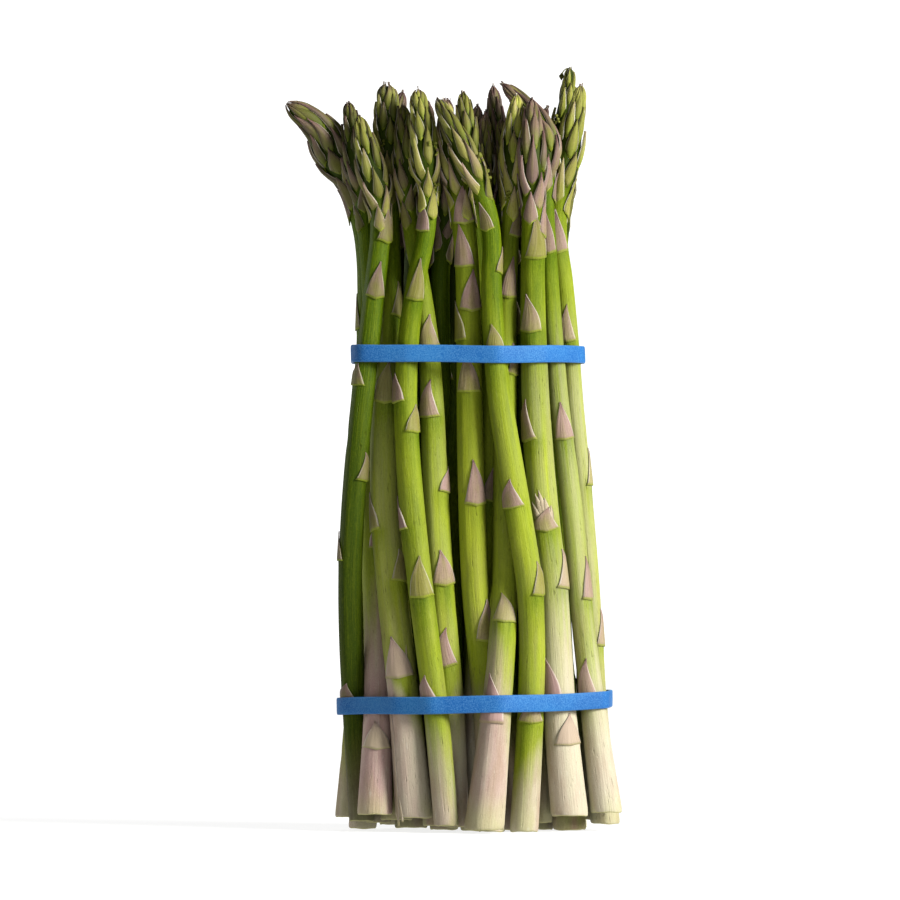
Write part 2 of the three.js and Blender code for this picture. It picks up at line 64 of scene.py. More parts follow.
# a darkness below 0, as on f and m, lightens the bracts: painted light for a head that stands in shade
# a green above 1, as on a, is painted shade: the skin then goes on towards near-black green
# Each row has a spear's shape, as its solid has it, and then its finish:
# foot, r and tip: the height of its cut end, the radii of its foot, middle and neck, and its tip's place
# bud: height and largest radius, and, on a blunt one, where it is widest and how wide its tip is, as shares
# x and y: its places at the stations, where a lone y follows the bundle's depth; via: where a bud bends over
# scales: each leaf's height, degrees from the front and length; the solids leave out the first of a, d, f, m
# and g, which is low relief
# green, wax: how deep its green is, low and high, and how pale its stem is above the foot
# pale, slant: how high its pale foot reaches, over how long a fade and how pink; its high side, and by how much
# head: the number, length and half width of its bracts, how far they stand off, how dark and how mauve they are
# first, loose: where the lowest bract begins, as a share of the bud's height, and the number of loose tips
# beads, thread and strips: as the functions that add them say
FRONT_SPEARS = [
    dict(
        name="a", foot=3, r=(4.2, 3.8, 3.3), tip=(-37.8, -22, 232), bud=(33, 5.2),
        x=(-36.6, -38.8, -40, -38.8, -35.8, -32.4, -30.4), y=(-13, -11, -15, -18, -18, -17, -17),
        scales=((191, 40, 10), (173, 10, 11), (144, -50, 7), (114, 60, 9), (88, -90, 9), (43, -40, 6)),
        green=(1.35, 1.08), pale=(24, 40, 0.3), head=(40, 10.4, 2.162, 0.4, 0.3, 0.3), loose=3,
    ),
    dict(
        name="l", foot=4, r=(4.5, 3.9, 3.3), via=(-50, -8, 228), tip=(-61.5, -9, 236.6),
        bud=(31, 6.7, 0.5, 0.34),
        x=(-41, -37.4, -36.6, -36.8, -35.2, -34, -37), y=(-5, -1, -4, -5, -5, -4, -4),
        scales=((163, -90, 12), (121, 170, 11), (70, -60, 12)),
        green=(0.85, 1), pale=(20, 30, 0.3), head=(37, 10.4, 3.102, 0.15, 0.75, 0.6), loose=0,
    ),
    dict(
        name="b", foot=5.5, r=(5.8, 3.8, 2.8), tip=(-41.3, -3, 237), bud=(34, 4.6),
        x=(-32, -31, -32, -33.3, -32.6, -33.3, -35.9), y=(-24, -19, -9, -7, -7, -7, -6),
        scales=((150, 120, 10), (92, 40, 11), (27, 0, 8)),
        green=(0.2, 1), pale=(66, 46, 0.85), slant=(60, 8), head=(35, 9.6, 2.068, 1, 0.8, 0.5), loose=5,
    ),
    dict(
        name="c", foot=4.5, r=(6.2, 4.7, 3.1), tip=(-28.7, -7, 243), bud=(35, 4.8, 0.5, 0.5),
        x=(-20, -23.6, -27.5, -30, -30, -28.1, -28.1), y=(-23, -20, -18, -17, -16, -14, -10),
        scales=((139, 0, 13), (98, -80, 12), (81, 55, 10), (50, -10, 13), (167, 60, 11)),
        green=(0.25, 0.85), pale=(41, 16, 0.5), slant=(-80, 12), wax=0.16,
        head=(37, 10, 2.35, 0.25, 0.5, 0.2), loose=6, beads=((222, -30),),
        strips=((2.5, -62, 38, 0.9, 6, 0.5), (4, -40, 9, 0.6, -8, 0.1), (52, 22, 8, 0.6, 9, 0.2)),
    ),
    dict(
        name="d", foot=2.2, r=(4.1, 4.1, 2.9), tip=(-18.7, -25, 240.5), bud=(35, 4.9, 0.34, 0.4),
        x=(-8.6, -12.3, -16.8, -20.3, -22.3, -20, -15.2), y=-21,
        scales=((194, -35, 10), (172, 10, 13), (139, -60, 9), (129, 50, 9), (98, -85, 11), (76, 5, 13),
                (43, -45, 8)),
        green=(0.5, 0.85), pale=(20, 44, 0.25), slant=(-75, 10), wax=0.03,
        head=(40, 10, 2.162, 0.35, 0.15, 0.25), loose=2, beads=((219, 35), (208, 60)),
    ),
    dict(
        name="e", foot=1.5, r=(4.6, 4.3, 2.6), tip=(-23.3, -14, 235.8), bud=(34, 4.5),
        x=(-2.9, -4.8, -8.4, -10.7, -12.3, -15.2, -20.7), y=(-13, -16, -18, -18, -17, -16, -16),
        scales=((157, 10, 10), (134, -20, 12), (110, 70, 8), (80, 20, 11), (54, -10, 12)),
        green=(0.35, 0.65), pale=(30, 40, 0.2), slant=(70, 10), wax=0.1,
        head=(37, 9.6, 2.068, 0.4, 0.45, 0.35), loose=4, beads=((214, 40),),
    ),
    dict(
        name="f", foot=0, r=(4.4, 4.3, 3.8), tip=(-10, -15, 237.4), bud=(35, 4.8),
        x=(1, 0.6, -1.6, -2.6, -2.9, -2.9, -4.2), y=(-13, -15, -18, -20, -18, -17, -18),
        scales=((197, 5, 12), (183, -20, 14), (169, 15, 13), (159, -70, 13), (142, -5, 13), (106, 20, 14),
                (62, 40, 13)),
        green=(0.15, 0.4), pale=(34, 34, 0.4), wax=0.04,
        head=(37, 10.4, 2.256, 0.5, -0.25, 0.6), loose=5, beads=((214, 60),),
    ),
    dict(
        name="n", foot=0, r=(4.6, 3.5, 2.8), tip=(-3.9, -2, 240.3), bud=(34, 4.5),
        x=(0, 0.3, 2.3, 4.2, 5.5, 2.9, -1), y=(-5, -6, -8, -9, -8, -8, -8),
        scales=((107, 20, 12), (62, -30, 12), (160, 40, 11)),
        green=(0.6, 0.85), pale=(40, 40, 0.4), head=(37, 9.6, 2.068, 0.9, 0.45, 0.25), loose=4,
    ),
    dict(
        name="m", foot=1, r=(6.7, 4, 2.8), tip=(13.6, -20, 239), bud=(34, 4.7),
        x=(2.6, 6.8, 9.3, 9.6, 9.7, 10.3, 12), y=(-27, -21, -15, -13, -13, -13, -15),
        scales=((193, 45, 10), (173, 10, 13), (148, 60, 10), (67, 2, 9), (35, -25, 16)),
        green=(0.35, 0.45), pale=(46, 44, 0.6), slant=(-60, 14),
        head=(40, 11.2, 2.162, 0.4, -0.3, 0.25), loose=3, beads=((212, 50), (206, -30)),
    ),
    dict(
        name="g", foot=0, r=(4.7, 4.2, 2.9), tip=(-12.3, -29, 237.4), bud=(34, 4.3),
        x=(15.8, 17.4, 17.1, 12.6, 7.4, 4.8, 3.9), y=-23,
        scales=((195, -30, 9), (181, 75, 8), (155, 0, 9), (105, -25, 9), (77, 60, 10), (36, 5, 7)),
        green=(0.4, 0.8), pale=(16, 30, 0.25), slant=(80, 9), wax=0.05,
        head=(31, 10.4, 2.162, 0.4, 0.35, 0.3), first=0.02, loose=2, beads=((216, 68), (211, 80)),
    ),
    dict(
        name="h", foot=5, r=(6.2, 4.9, 3.8), tip=(18.4, -23, 237.4), bud=(36, 5),
        x=(31.7, 27.8, 25.8, 22.3, 20, 19.1, 19.1), y=-20,
        scales=((186, 20, 14), (162, -15, 12), (127, -55, 13), (98, 5, 7), (79, 75, 12), (43, -40, 14),
                (28, 25, 10)),
        green=(0.3, 0.65), pale=(62, 84, 0.16), slant=(70, 10), wax=0.2,
        head=(35, 12, 2.444, 0.4, 0.45, 0.95), loose=6,
        strips=((100.5, -20, 6.5, 1.3, -22, 0.1), (101.5, -9, 8, 1.5, -16, 0), (101, 2, 9.5, 1.5, -14, 0),
                (101, 13, 7, 1.4, -6, 0.1), (100, 23, 5.5, 1.2, 8, 0.3)),
    ),
    dict(
        name="i", foot=6, r=(5.3, 3.4, 2.6), via=(21.5, -8, 228), tip=(9, -5, 243), bud=(34, 5),
        x=(42.6, 37.5, 33.6, 30.7, 26.8, 24.5, 22.9), y=-14,
        scales=((188, 0, 13), (127, 10, 12), (75, 60, 14), (43, -20, 13)),
        green=(0.25, 0.75), pale=(42, 64, 0.15), slant=(60, 12), wax=0.3,
        head=(33, 12, 2.256, 0.4, 0.5, 0.8), loose=5,
    ),
    dict(
        name="j", foot=2, r=(5, 3.3, 3.1), tip=(34.6, -13, 242.3), bud=(38, 4.9),
        x=(41.3, 38, 36.2, 33.8, 30.8, 28.4, 25.8), y=-6,
        scales=((188, -5, 14), (159, -10, 12), (112, 80, 12), (60, 70, 12)),
        green=(0.2, 0.5), pale=(40, 60, 0.05), wax=0.34, head=(31, 12.8, 2.444, 0.4, 0, 0.1), loose=3,
    ),
    dict(
        name="k", foot=3, r=(4.8, 3.3, 2.7), tip=(31.3, 11, 249), bud=(38, 4.4),
        x=(36.5, 36.4, 36.4, 34.4, 31.4, 28.8, 25.6), y=(6, 6, 5, 4, 5, 6, 8),
        scales=((178, 60, 11), (130, 85, 11), (84, 95, 12)),
        green=(0.45, 0.65), pale=(30, 40, 0.1), wax=0.2,
        head=(24, 9.6, 2.256, 0.5, 0.1, 0), loose=2, beads=((233, -40), (224, -60), (214, 0)),
        thread=(((31.6, 9, 247), (30.8, 8.5, 248.5), (29.6, 8.2, 248.3), (28.7, 8, 247.2), (28.4, 8, 246),
                 (28.3, 8, 244.6)), (0, 0.26, 0.18, 0.2, 0.95, 0), 0.8),
    ),
]

# The spears behind those: depth at mid-height, places from left to right, and the heights between which
# their tips lie.
HIDDEN_ROWS = [
    (-9, (-19, -10, 17), (213, 224)),
    (0, (-26, -16, -7, 2, 11, 19, 24), (224, 236)),
    (9, (-29, -20, -11, -2, 7, 16, 25), (226, 243)),
    (17, (-17, -7, 5), (226, 243)),
]

# ---- curves ----


def through(positions, values, at):
    """A smooth curve through values at rising positions, with the slope at each from its neighbours."""
    positions, values, at = (np.asarray(given, float) for given in (positions, values, at))
    last = len(positions) - 1
    k = np.searchsorted(positions[1:last], at)
    low = np.maximum(np.arange(last + 1) - 1, 0)
    high = np.minimum(np.arange(last + 1) + 1, last)
    slopes = (values[high] - values[low]) / (positions[high] - positions[low])
    span = positions[k + 1] - positions[k]
    t = (at - positions[k]) / span
    t2 = t * t
    t3 = t2 * t
    return (
        (2 * t3 - 3 * t2 + 1) * values[k]
        + (t3 - 2 * t2 + t) * span * slopes[k]
        + (3 * t2 - 2 * t3) * values[k + 1]
        + (t3 - t2) * span * slopes[k + 1]
    )


def smooth(low, high, at):
    """0 below low, 1 above high and a smooth step between."""
    t = np.clip((np.asarray(at, float) - low) / (high - low), 0, 1)
    return t * t * (3 - 2 * t)


# ---- how thick a spear is ----

NECK_LEVEL = 195  # the height at which every stem is down to its neck's radius
TAPER_HEIGHTS = [0, 45, 115, NECK_LEVEL]
SWELL_LEFT = 0.3  # what is left at the second of those heights of the foot's extra radius
BUD_WIDEST = 0.34  # where a bud is widest, and how wide its tip is, as shares
BUD_TIP = 0.24
BUD_RELIEF = 1.08  # how far a bud's bracts may stand out, as a factor on its radius


def stem_radius(spear, height):
    foot, middle, neck = spear["r"]
    radii = [foot, middle + (foot - middle) * SWELL_LEFT, middle, neck]
    return through(TAPER_HEIGHTS, radii, np.minimum(height, NECK_LEVEL))


def bud_radius(spear, share):
    largest, neck = spear["bud"][1], spear["r"][2]
    widest, tip = (*spear["bud"][2:], BUD_WIDEST, BUD_TIP)[:2]
    t = np.clip(share / widest, 0, 1)
    low = neck + (largest - neck) * t * t * (3 - 2 * t)
    t = np.clip((share - widest) / (1 - widest), 0, 1)
    return np.where(share < widest, low, largest * (1 - (1 - tip) * t * np.sqrt(t)))


def neck_height(spear):
    return spear["tip"][2] - spear["bud"][0]


def radius_at(spear, height):
    height = np.asarray(height, float)
    share = (height - neck_height(spear)) / spear["bud"][0]
    return np.where(share < 0, stem_radius(spear, height), bud_radius(spear, np.minimum(share, 1)))


# ---- where the spears stand ----

WOBBLE = 1.2  # how far a hidden spear strays from its place in the bundle at each station
OUTSIDE_DEEP, OUTSIDE_ACROSS = 0.15, 0.36  # past these shares of the bundle, a hidden spear can be seen
LAST_SCALE = 186  # no scale leaf of a hidden spear begins above this height


def hidden_spears():
    """The spears behind: each keeps its share of the bundle's width and depth on its way up."""
    state = RANDOM_SEED
    spears = []

    def between(low, high):
        nonlocal state
        state = (state * 16807) % 2147483647  # it gives the same numbers in any language
        return low + (high - low) * (state / 2147483647)

    for row, (middle_y, places, tips) in enumerate(HIDDEN_ROWS):
        for place, middle_x in enumerate(places):
            name = f"{row + 1}_{place + 1}"
            across = (middle_x - CENTRE_X[MIDDLE_STATION]) / WIDTH[MIDDLE_STATION]
            deep = middle_y / DEPTH[MIDDLE_STATION]
            x = [middle + across * width + between(-WOBBLE, WOBBLE) for middle, width in zip(CENTRE_X, WIDTH)]
            y = [deep * depth + between(-WOBBLE, WOBBLE) for depth in DEPTH]
            spread_x = across * between(-8, 6) + between(-4, 4)
            spread_y = deep * between(10, 30) + between(-4, 4)
            bud = (between(31, 36), between(4.1, 4.9))
            tip = (x[-1] + spread_x, y[-1] + spread_y, between(*tips))
            r = (between(4.2, 5.8), between(3.6, 4.4), between(2.7, 3.3))
            foot = max(between(-3, 4), 0)
            outside = deep > OUTSIDE_DEEP or abs(across) > OUTSIDE_ACROSS
            scales = []
            height = between(28, 55)
            while height < LAST_SCALE:
                turn = (len(scales) * TURN_STEP + place * 80) % 360
                scales.append((height, turn, between(10, 13)))
                height += between(34, 44) if outside else 110
            if name == MIDDLE_SPEAR:
                foot = 0
            spear = dict(name=name, x=x, y=y, r=r, foot=foot, tip=tip, bud=bud, scales=scales, hidden=row)
            spears.append(spear)
    return spears


def axis_of(spear):
    """A spear's axis is a curve over the height: its places at the levels where it can bend."""
    top = STEM_LEVELS[-1]
    rise = spear["tip"][2] - top
    levels = [spear["foot"], *STEM_LEVELS, *(top + rise * k / UPPER_LEVELS for k in range(1, UPPER_LEVELS + 1))]
    y = spear["y"]
    depths = [y * depth / DEPTH[MIDDLE_STATION] for depth in DEPTH] if isinstance(y, (int, float)) else y
    upper = [spear["via"], spear["tip"]] if "via" in spear else [spear["tip"]]
    given = STATIONS + [place[2] for place in upper]
    x = through(given, [*spear["x"], *(place[0] for place in upper)], levels)
    y = through(given, [*depths, *(place[1] for place in upper)], levels)
    return levels, list(map(float, x)), list(map(float, y))


SETTLE_ROUNDS = 360
SQUEEZE_ROUNDS = 150  # each of the first rounds squeezes the bundle's depth by a share
SQUEEZE = 0.006
STIFF_ROUNDS = 330  # and in all but the last, the spears stay smooth
EVEN_OUT = 0.3
FRONT_HOLD = 0.03  # how freely a front spear gives way sideways, where 1 is a hidden one
LEVELS_NEAR = 3  # in the buds, each level also meets this many above and below it
LEVEL_REACH = 3.6  # and pushes those this near in height as if they were level with it
MEETING_REACH = 26  # spears that start further apart than this along x never meet
TOO_NEAR = 1e-6  # axes nearer than this don't push each other


def even_out(places, start):
    moved = [place - begun for place, begun in zip(places, start)]
    for k in range(1, len(places) - 1):
        places[k] += EVEN_OUT * ((moved[k - 1] + moved[k + 1]) / 2 - moved[k])


def settle(spears):
    """Lets the spears find their places: the bands squeeze them together, and none may enter another."""
    axes = [axis_of(spear) for spear in spears]
    starts = [(list(x), list(y)) for _, x, y in axes]
    rooms = []
    for spear, (levels, _, _) in zip(spears, axes):
        neck = neck_height(spear)
        stem = zip(levels, radius_at(spear, levels).tolist())
        rooms.append([r * BUD_RELIEF + GAP if z > neck else r + SCALE_RISE + GAP for z, r in stem])
    count = len(axes[0][0])
    last_stem = len(STEM_LEVELS)
    level_pairs = []
    for k in range(count):
        low = k if k < last_stem else max(k - LEVELS_NEAR, last_stem)
        high = k if k < last_stem else min(k + LEVELS_NEAR, count - 1)
        level_pairs += [(k, m, k <= last_stem and m <= last_stem) for m in range(low, high + 1)]
    meeting = [
        (i, j)
        for i in range(len(axes))
        for j in range(i + 1, len(axes))
        if min(abs(axes[i][1][k] - axes[j][1][m]) for k, m, _ in level_pairs) < MEETING_REACH
    ]
    middle = [spear["name"] for spear in spears].index(MIDDLE_SPEAR)
    sideways = [1 if "hidden" in spear else FRONT_HOLD for spear in spears]
    for turn in range(SETTLE_ROUNDS):
        for i, (_, x, y) in enumerate(axes):
            if turn < SQUEEZE_ROUNDS:
                y[:] = [place * (1 - SQUEEZE) for place in y]
            if turn < STIFF_ROUNDS:
                even_out(x, starts[i][0])
                even_out(y, starts[i][1])
            if i == middle:
                x[0] = y[0] = 0.0
        for i, j in meeting:
            a_levels, a_x, a_y = axes[i]
            b_levels, b_x, b_y = axes[j]
            a_room, b_room = rooms[i], rooms[j]
            for k, m, level in level_pairs:
                dx = a_x[k] - b_x[m]
                dy = a_y[k] - b_y[m]
                need = a_room[k] + b_room[m]
                if dx * dx + dy * dy >= need * need:
                    continue
                dz = 0 if level else max(abs(a_levels[k] - b_levels[m]) - LEVEL_REACH, 0)
                flat = math.sqrt(dx * dx + dy * dy)
                overlap = math.sqrt(max(need * need - dz * dz, 0)) - flat
                if overlap <= 0 or flat < TOO_NEAR:
                    continue
                dx /= flat
                dy /= flat
                free_a = (0, 0) if i == middle and k == 0 else (sideways[i], 1)
                free_b = (0, 0) if j == middle and m == 0 else (sideways[j], 1)
                push = overlap / ((free_a[0] + free_b[0]) * dx * dx + (free_a[1] + free_b[1]) * dy * dy)
                a_x[k] += push * free_a[0] * dx
                a_y[k] += push * free_a[1] * dy
                b_x[m] -= push * free_b[0] * dx
                b_y[m] -= push * free_b[1] * dy
    return axes


FRAME_STEP = 0.5  # the height between the places at which a spear's frame is kept
FRAME_MARGIN = (2, 4)  # how far below its foot and above its tip they go on


def keep_frames(spear, axis):
    """The middle of the spear, and the directions to its right and its back, at close steps of height."""
    levels, x, y = axis
    below, above = FRAME_MARGIN
    heights = np.arange(spear["foot"] - below, spear["tip"][2] + above, FRAME_STEP)

    def at(z):
        return np.stack([through(levels, x, z), through(levels, y, z), z], axis=1)

    along = at(heights + FRAME_STEP) - at(heights - FRAME_STEP)
    along /= np.linalg.norm(along, axis=1, keepdims=True)
    back = np.array([0.0, 1.0, 0.0]) - along * along[:, 1:2]
    back /= np.linalg.norm(back, axis=1, keepdims=True)
    spear["frames"] = (heights, at(heights), np.cross(back, along), back)


def beside(spear, height, angle, radius):
    """Points beside a spear's axis: angle is in degrees round it from the front, positive to the right."""
    height, angle, radius = np.broadcast_arrays(*(np.asarray(v, float) for v in (height, angle, radius)))
    shape = height.shape
    heights, middle, right, back = spear["frames"]
    height, turn, radius = height.ravel(), np.radians(angle.ravel()), radius.ravel()

    def at(table):
        return np.stack([np.interp(height, heights, table[:, n]) for n in range(3)], axis=1)

    out = at(right) * np.sin(turn)[:, None] - at(back) * np.cos(turn)[:, None]
    return (at(middle) + out * radius[:, None]).reshape(*shape, 3)


# ---- a spear's skin ----

LOBES = [(2, 0.02), (3, 0.014), (5, 0.012), (8, 0.01)]  # how many go round a stem, and their height as a share
DENTS = 9
SHOULDER = 0.2  # how far the stem swells out at the base of a scale leaf
SHOULDER_HALF_ANGLE = 75
SHOULDER_FADE = 2.2  # how far down that swelling dies away
CORE = 0.8  # the radius of a bud's core, as a share of the bud's
CORE_GAP = 0.7  # how far below the bud's tip its core ends
DOME = 3.2  # the height of the dome in which a bud closes
WAX_FADES = (130, 185)  # between these heights the stem loses its pale wax,
GREEN_DEEPENS = (95, 195)  # its green goes from low to high,
HEAD_DEEPENS = (180, 212)  # and it gets deeper once more under the bud
FRESH_HALF_ANGLE = 95  # the fresh green under a scale leaf: how far it goes round the stem, down and up
FRESH_BELOW = 7
FRESH_ABOVE = 2
CUT_END = [  # rows from the middle of the cut end to its rim: height, share of the radius, how bare it is
    (0.4, 0.0, 1.0), (0.3, 0.5, 1.0), (0.12, 0.8, 1.0), (0.0, 0.89, 0.7), (0.1, 0.94, 0.3), (0.45, 0.976, 0.0),
    (1.1, 0.996, 0.0),
]
CUT_HEIGHT = 2.2  # where the stem's even rows begin
BUD_ROWS = 20
UV_HEIGHT = 100  # millimetres of height for each unit of the surface map


def turned(angle):
    """The angle brought between -180 and 180 degrees."""
    return (np.asarray(angle, float) + 180) % 360 - 180


def waves(theta, *parts):
    """The sum of sine waves round a piece: each part gives its height, its number of waves and its phase."""
    return sum(height * np.sin(count * theta + phase) for height, count, phase in parts)


def skin_radius(spear, height, angle):
    """The stem's surface: lobed a little, swollen at each scale leaf and with a few shallow dents."""
    height, angle = np.broadcast_arrays(np.asarray(height, float), np.asarray(angle, float))
    radius = radius_at(spear, height)
    theta = np.radians(angle)
    for count, share, phase, twist in spear["lobes"]:
        radius = radius * (1 + share * np.cos(count * theta + phase + twist * height))
    for low, turn, length in spear["scales"]:
        near = np.clip(1 - (turned(angle - turn) / SHOULDER_HALF_ANGLE) ** 2, 0, 1)
        below = np.exp(-np.maximum(low - height, 0) / SHOULDER_FADE)
        above = np.clip(1 - (height - low) / length, 0, 1)
        radius = radius + SHOULDER * near * np.where(height < low, below, above)
    for low, turn, tall, wide, deep in spear["dents"]:
        off = ((height - low) / tall) ** 2 + (turned(angle - turn) / wide) ** 2
        radius = radius - deep * np.exp(-off)
    return radius


def closing(spear, height):
    """The share of its radius that is left of a bud where it closes at its tip."""
    left = np.clip((spear["tip"][2] - height) / DOME, 0, 1)
    return np.sqrt(left * (2 - left))


def character(spear, dice):
    """What makes one spear unlike the next: lobes, dents and, for the spears behind, a finish, whose green is
    painted deeper as shade in the two rows nearest the front.
    """
    between = dice.uniform
    spear["lobes"] = [
        (count, share * between(0.5, 1.2), between(0, 6.28), between(-0.02, 0.02)) for count, share in LOBES
    ]
    top = neck_height(spear) - 6
    spear["dents"] = [
        (between(20, top), between(-180, 180), between(0.8, 4), between(9, 20), between(0.1, 0.3))
        for _ in range(DENTS)
    ]
    spear["kin"] = dice.random()
    if "hidden" in spear:
        # the two hidden rows nearest the front get a deeper green: painted shade, deep in the bundle
        interior_painted_shade = 0.5 if spear["hidden"] < 2 else 0
        spear["green"] = (between(0.3, 0.7) + interior_painted_shade, between(0.75, 1.1) + interior_painted_shade)
        spear["pale"] = (between(8, 44), between(20, 44), between(0.1, 0.7))
        spear["head"] = (
            dice.randint(31, 37), between(9.2, 11.6), between(1.974, 2.35),
            between(0.1, 0.6), between(0.25, 0.75), between(0.2, 0.9),
        )
    spear.setdefault("loose", dice.randint(2, 4))
    spear.setdefault("slant", (between(-180, 180), between(1, 7)))


class Piece:
    """A mesh in the making, with what its materials read kept at its corners."""

    MARKS = ("across", "along", "tone", "flush", "pale", "kin", "cut", "fresh")

    def __init__(self):
        self.bm = bmesh.new()
        self.uv = self.bm.loops.layers.uv.new("surface")
        self.marks = {mark: self.bm.verts.layers.float.new(mark) for mark in self.MARKS}

    def sheet(self, columns, rows):
        """A grid whose corners run from 0 to 1 both ways, and those two shares for each of its corners."""
        made = bmesh.ops.create_grid(self.bm, x_segments=columns, y_segments=rows, size=0.5, calc_uvs=True)
        corners = made["verts"]
        shares = np.array([corner.co[:2] for corner in corners]) + 0.5
        return corners, shares[:, 0], shares[:, 1]

    def place(self, corners, points, **marks):
        """Moves the corners to their points, in millimetres, and writes what the materials read there."""
        for corner, point in zip(corners, points * MM):
            corner.co = point
        self.mark(corners, **marks)

    def mark(self, corners, **marks):
        for mark, values in marks.items():
            layer = self.marks[mark]
            for corner, value in zip(corners, np.broadcast_to(values, len(corners))):
                corner[layer] = float(value)

    def close(self, corners):
        """Merges the corners that meet at a seam or a pole."""
        bmesh.ops.remove_doubles(self.bm, verts=corners, dist=1e-7)

    def finish(self, name, materials):
        for face in self.bm.faces:
            face.smooth = True
        mesh = bpy.data.meshes.new(name)
        self.bm.to_mesh(mesh)
        self.bm.free()
        for material in materials:
            mesh.materials.append(material)
        piece = bpy.data.objects.new(name, mesh)
        bpy.context.scene.collection.objects.link(piece)
        return piece


def pale_share(spear, height, angle=0.0):
    """How white the stem is: the white foot reaches higher on one side of the stem than on the other."""
    reach, fade, _ = spear["pale"]
    side, climb = spear["slant"]
    reach = reach + climb * np.cos(np.radians(angle - side))
    waxy = spear.get("wax", 0.02) * (1 - smooth(*WAX_FADES, height))
    return np.maximum(np.clip(1 - smooth(0, 1, (height - reach) / fade + 0.5), 0, 1), waxy)


def green_share(spear, height):
    low, high = spear["green"]
    return low + (high - low) * smooth(*GREEN_DEEPENS, height) + 0.2 * smooth(*HEAD_DEEPENS, height)


def add_skin(piece, spear, columns, step):
    """The stem from its cut end to its neck and on into the core of the bud, as one closed skin."""
    foot, neck, tip, kin = spear["foot"], neck_height(spear), spear["tip"][2], spear["kin"]
    rise, share, bare = np.array(CUT_END).T
    stem = np.linspace(foot + CUT_HEIGHT, neck, int((neck - foot) / step) + 2)
    bud = neck + (tip - CORE_GAP - neck) * (1 - (1 - np.linspace(0, 1, BUD_ROWS)[1:]) ** 1.3)
    heights = np.concatenate([foot + rise, stem, bud])
    corners, around, up = piece.sheet(columns, len(heights) - 1)
    row = np.rint(up * (len(heights) - 1)).astype(int)
    on_cut = row < len(rise)
    cut_row = np.minimum(row, len(rise) - 1)
    height = heights[row]
    angle = around * 360 - 180
    bud_share = np.clip((height - neck) / (tip - neck), 0, 1)
    core = 1 - (1 - CORE) * smooth(0, 0.16, bud_share) * (1 - 0.6 * smooth(0.8, 1, bud_share))
    radius = skin_radius(spear, height, angle) * core * closing(spear, height + CORE_GAP)
    radius = np.where(on_cut, radius * share[cut_row], radius)
    points = beside(spear, height, angle, radius)
    uneven = 0.2 + waves(np.radians(angle), (0.11, 2, 9 * kin), (0.07, 5, 23 * kin))
    points[on_cut, 2] = (height + uneven * (radius > 0.01))[on_cut]
    fresh = np.zeros(len(corners))
    for low, turn, _ in spear["scales"]:
        near = np.clip(1 - (turned(angle - turn) / FRESH_HALF_ANGLE) ** 2, 0, 1)
        reach = np.where(height < low, FRESH_BELOW, FRESH_ABOVE)
        fresh = np.maximum(fresh, near * np.exp(-np.abs(low - 1 - height) / reach))
    # inside the bud the core is deepened towards near-black green: painted shade in the gaps between the bracts
    inside_bud = smooth(0.0, 0.3, bud_share)
    green = green_share(spear, height)
    piece.place(
        corners, points, tone=green + (1 - green) * 0.6 * inside_bud, flush=spear["pale"][2],
        pale=pale_share(spear, height, angle), kin=kin, cut=bare[cut_row], along=inside_bud, fresh=fresh,
    )
    for corner, at in zip(corners, height):
        for loop in corner.link_loops:
            place = loop[piece.uv]
            place.uv = (place.uv.x, at / UV_HEIGHT)
    piece.close(corners)


# ---- scale leaves and bracts ----

FINE = dict(leaf=(10, 10), bract=(6, 8), skin=(40, 1.5))  # columns and rows, and for the skin, a row's height
COARSE = dict(leaf=(4, 5), bract=(4, 5), skin=(24, 3.0))
LEAF_THICKNESS = 0.3
LEAST_REACH = (0.35, 0.3)  # the nearest that a blade's middle and its sides come to the axis
WIDEST_TURN = 1.5  # the farthest round, in radians, that its side edges go
UNDER_TIP = -0.2  # where a blade that closes over the bud ends, against the bud's tip
LEAF_HALF_ANGLE = 63  # how far round the stem a scale leaf reaches to either side
LEAF_PALES_BELOW = 10  # a scale leaf is as pale as the stem is this far below it
FIRST_BRACT = -0.2  # where the lowest and the highest bract begin, as shares of the bud's height
LAST_BRACT = 0.86
SHIELDS = 0.34  # the share of the bracts, from below, that are shields
CROWDING = 1.65  # above 1, the bracts crowd together towards the tip
TOP_OF_BUNDLE = 248.9  # no loose tip rises above this height
LOOSE_TIP_RISE = 0.8


def leaf_width(along):
    """A scale leaf on the stem bulges up to a drawn-out point, and flares at its base corners."""
    arch = np.cos(math.pi / 2 * along) ** 1.15 * (1 - 0.12 * along)
    return np.maximum(0.87 * arch + 0.13 * np.exp(-along / 0.07), 0.02)


def teardrop(base, widest, power, least):
    """A blade that starts base wide, is widest at a share of its length and narrows to a point."""

    def width(along):
        low = base + (1 - base) * smooth(0, widest, along)
        high = 1 - np.clip((along - widest) / (1 - widest), 0, 1) ** power
        return np.maximum(np.where(along < widest, low, high), least)

    return width


shield_width = teardrop(0.72, 0.13, 1.2, 0.03)  # the lowest bracts: broad bases and nearly straight sides
bract_width = teardrop(0.62, 0.26, 1.55, 0.05)


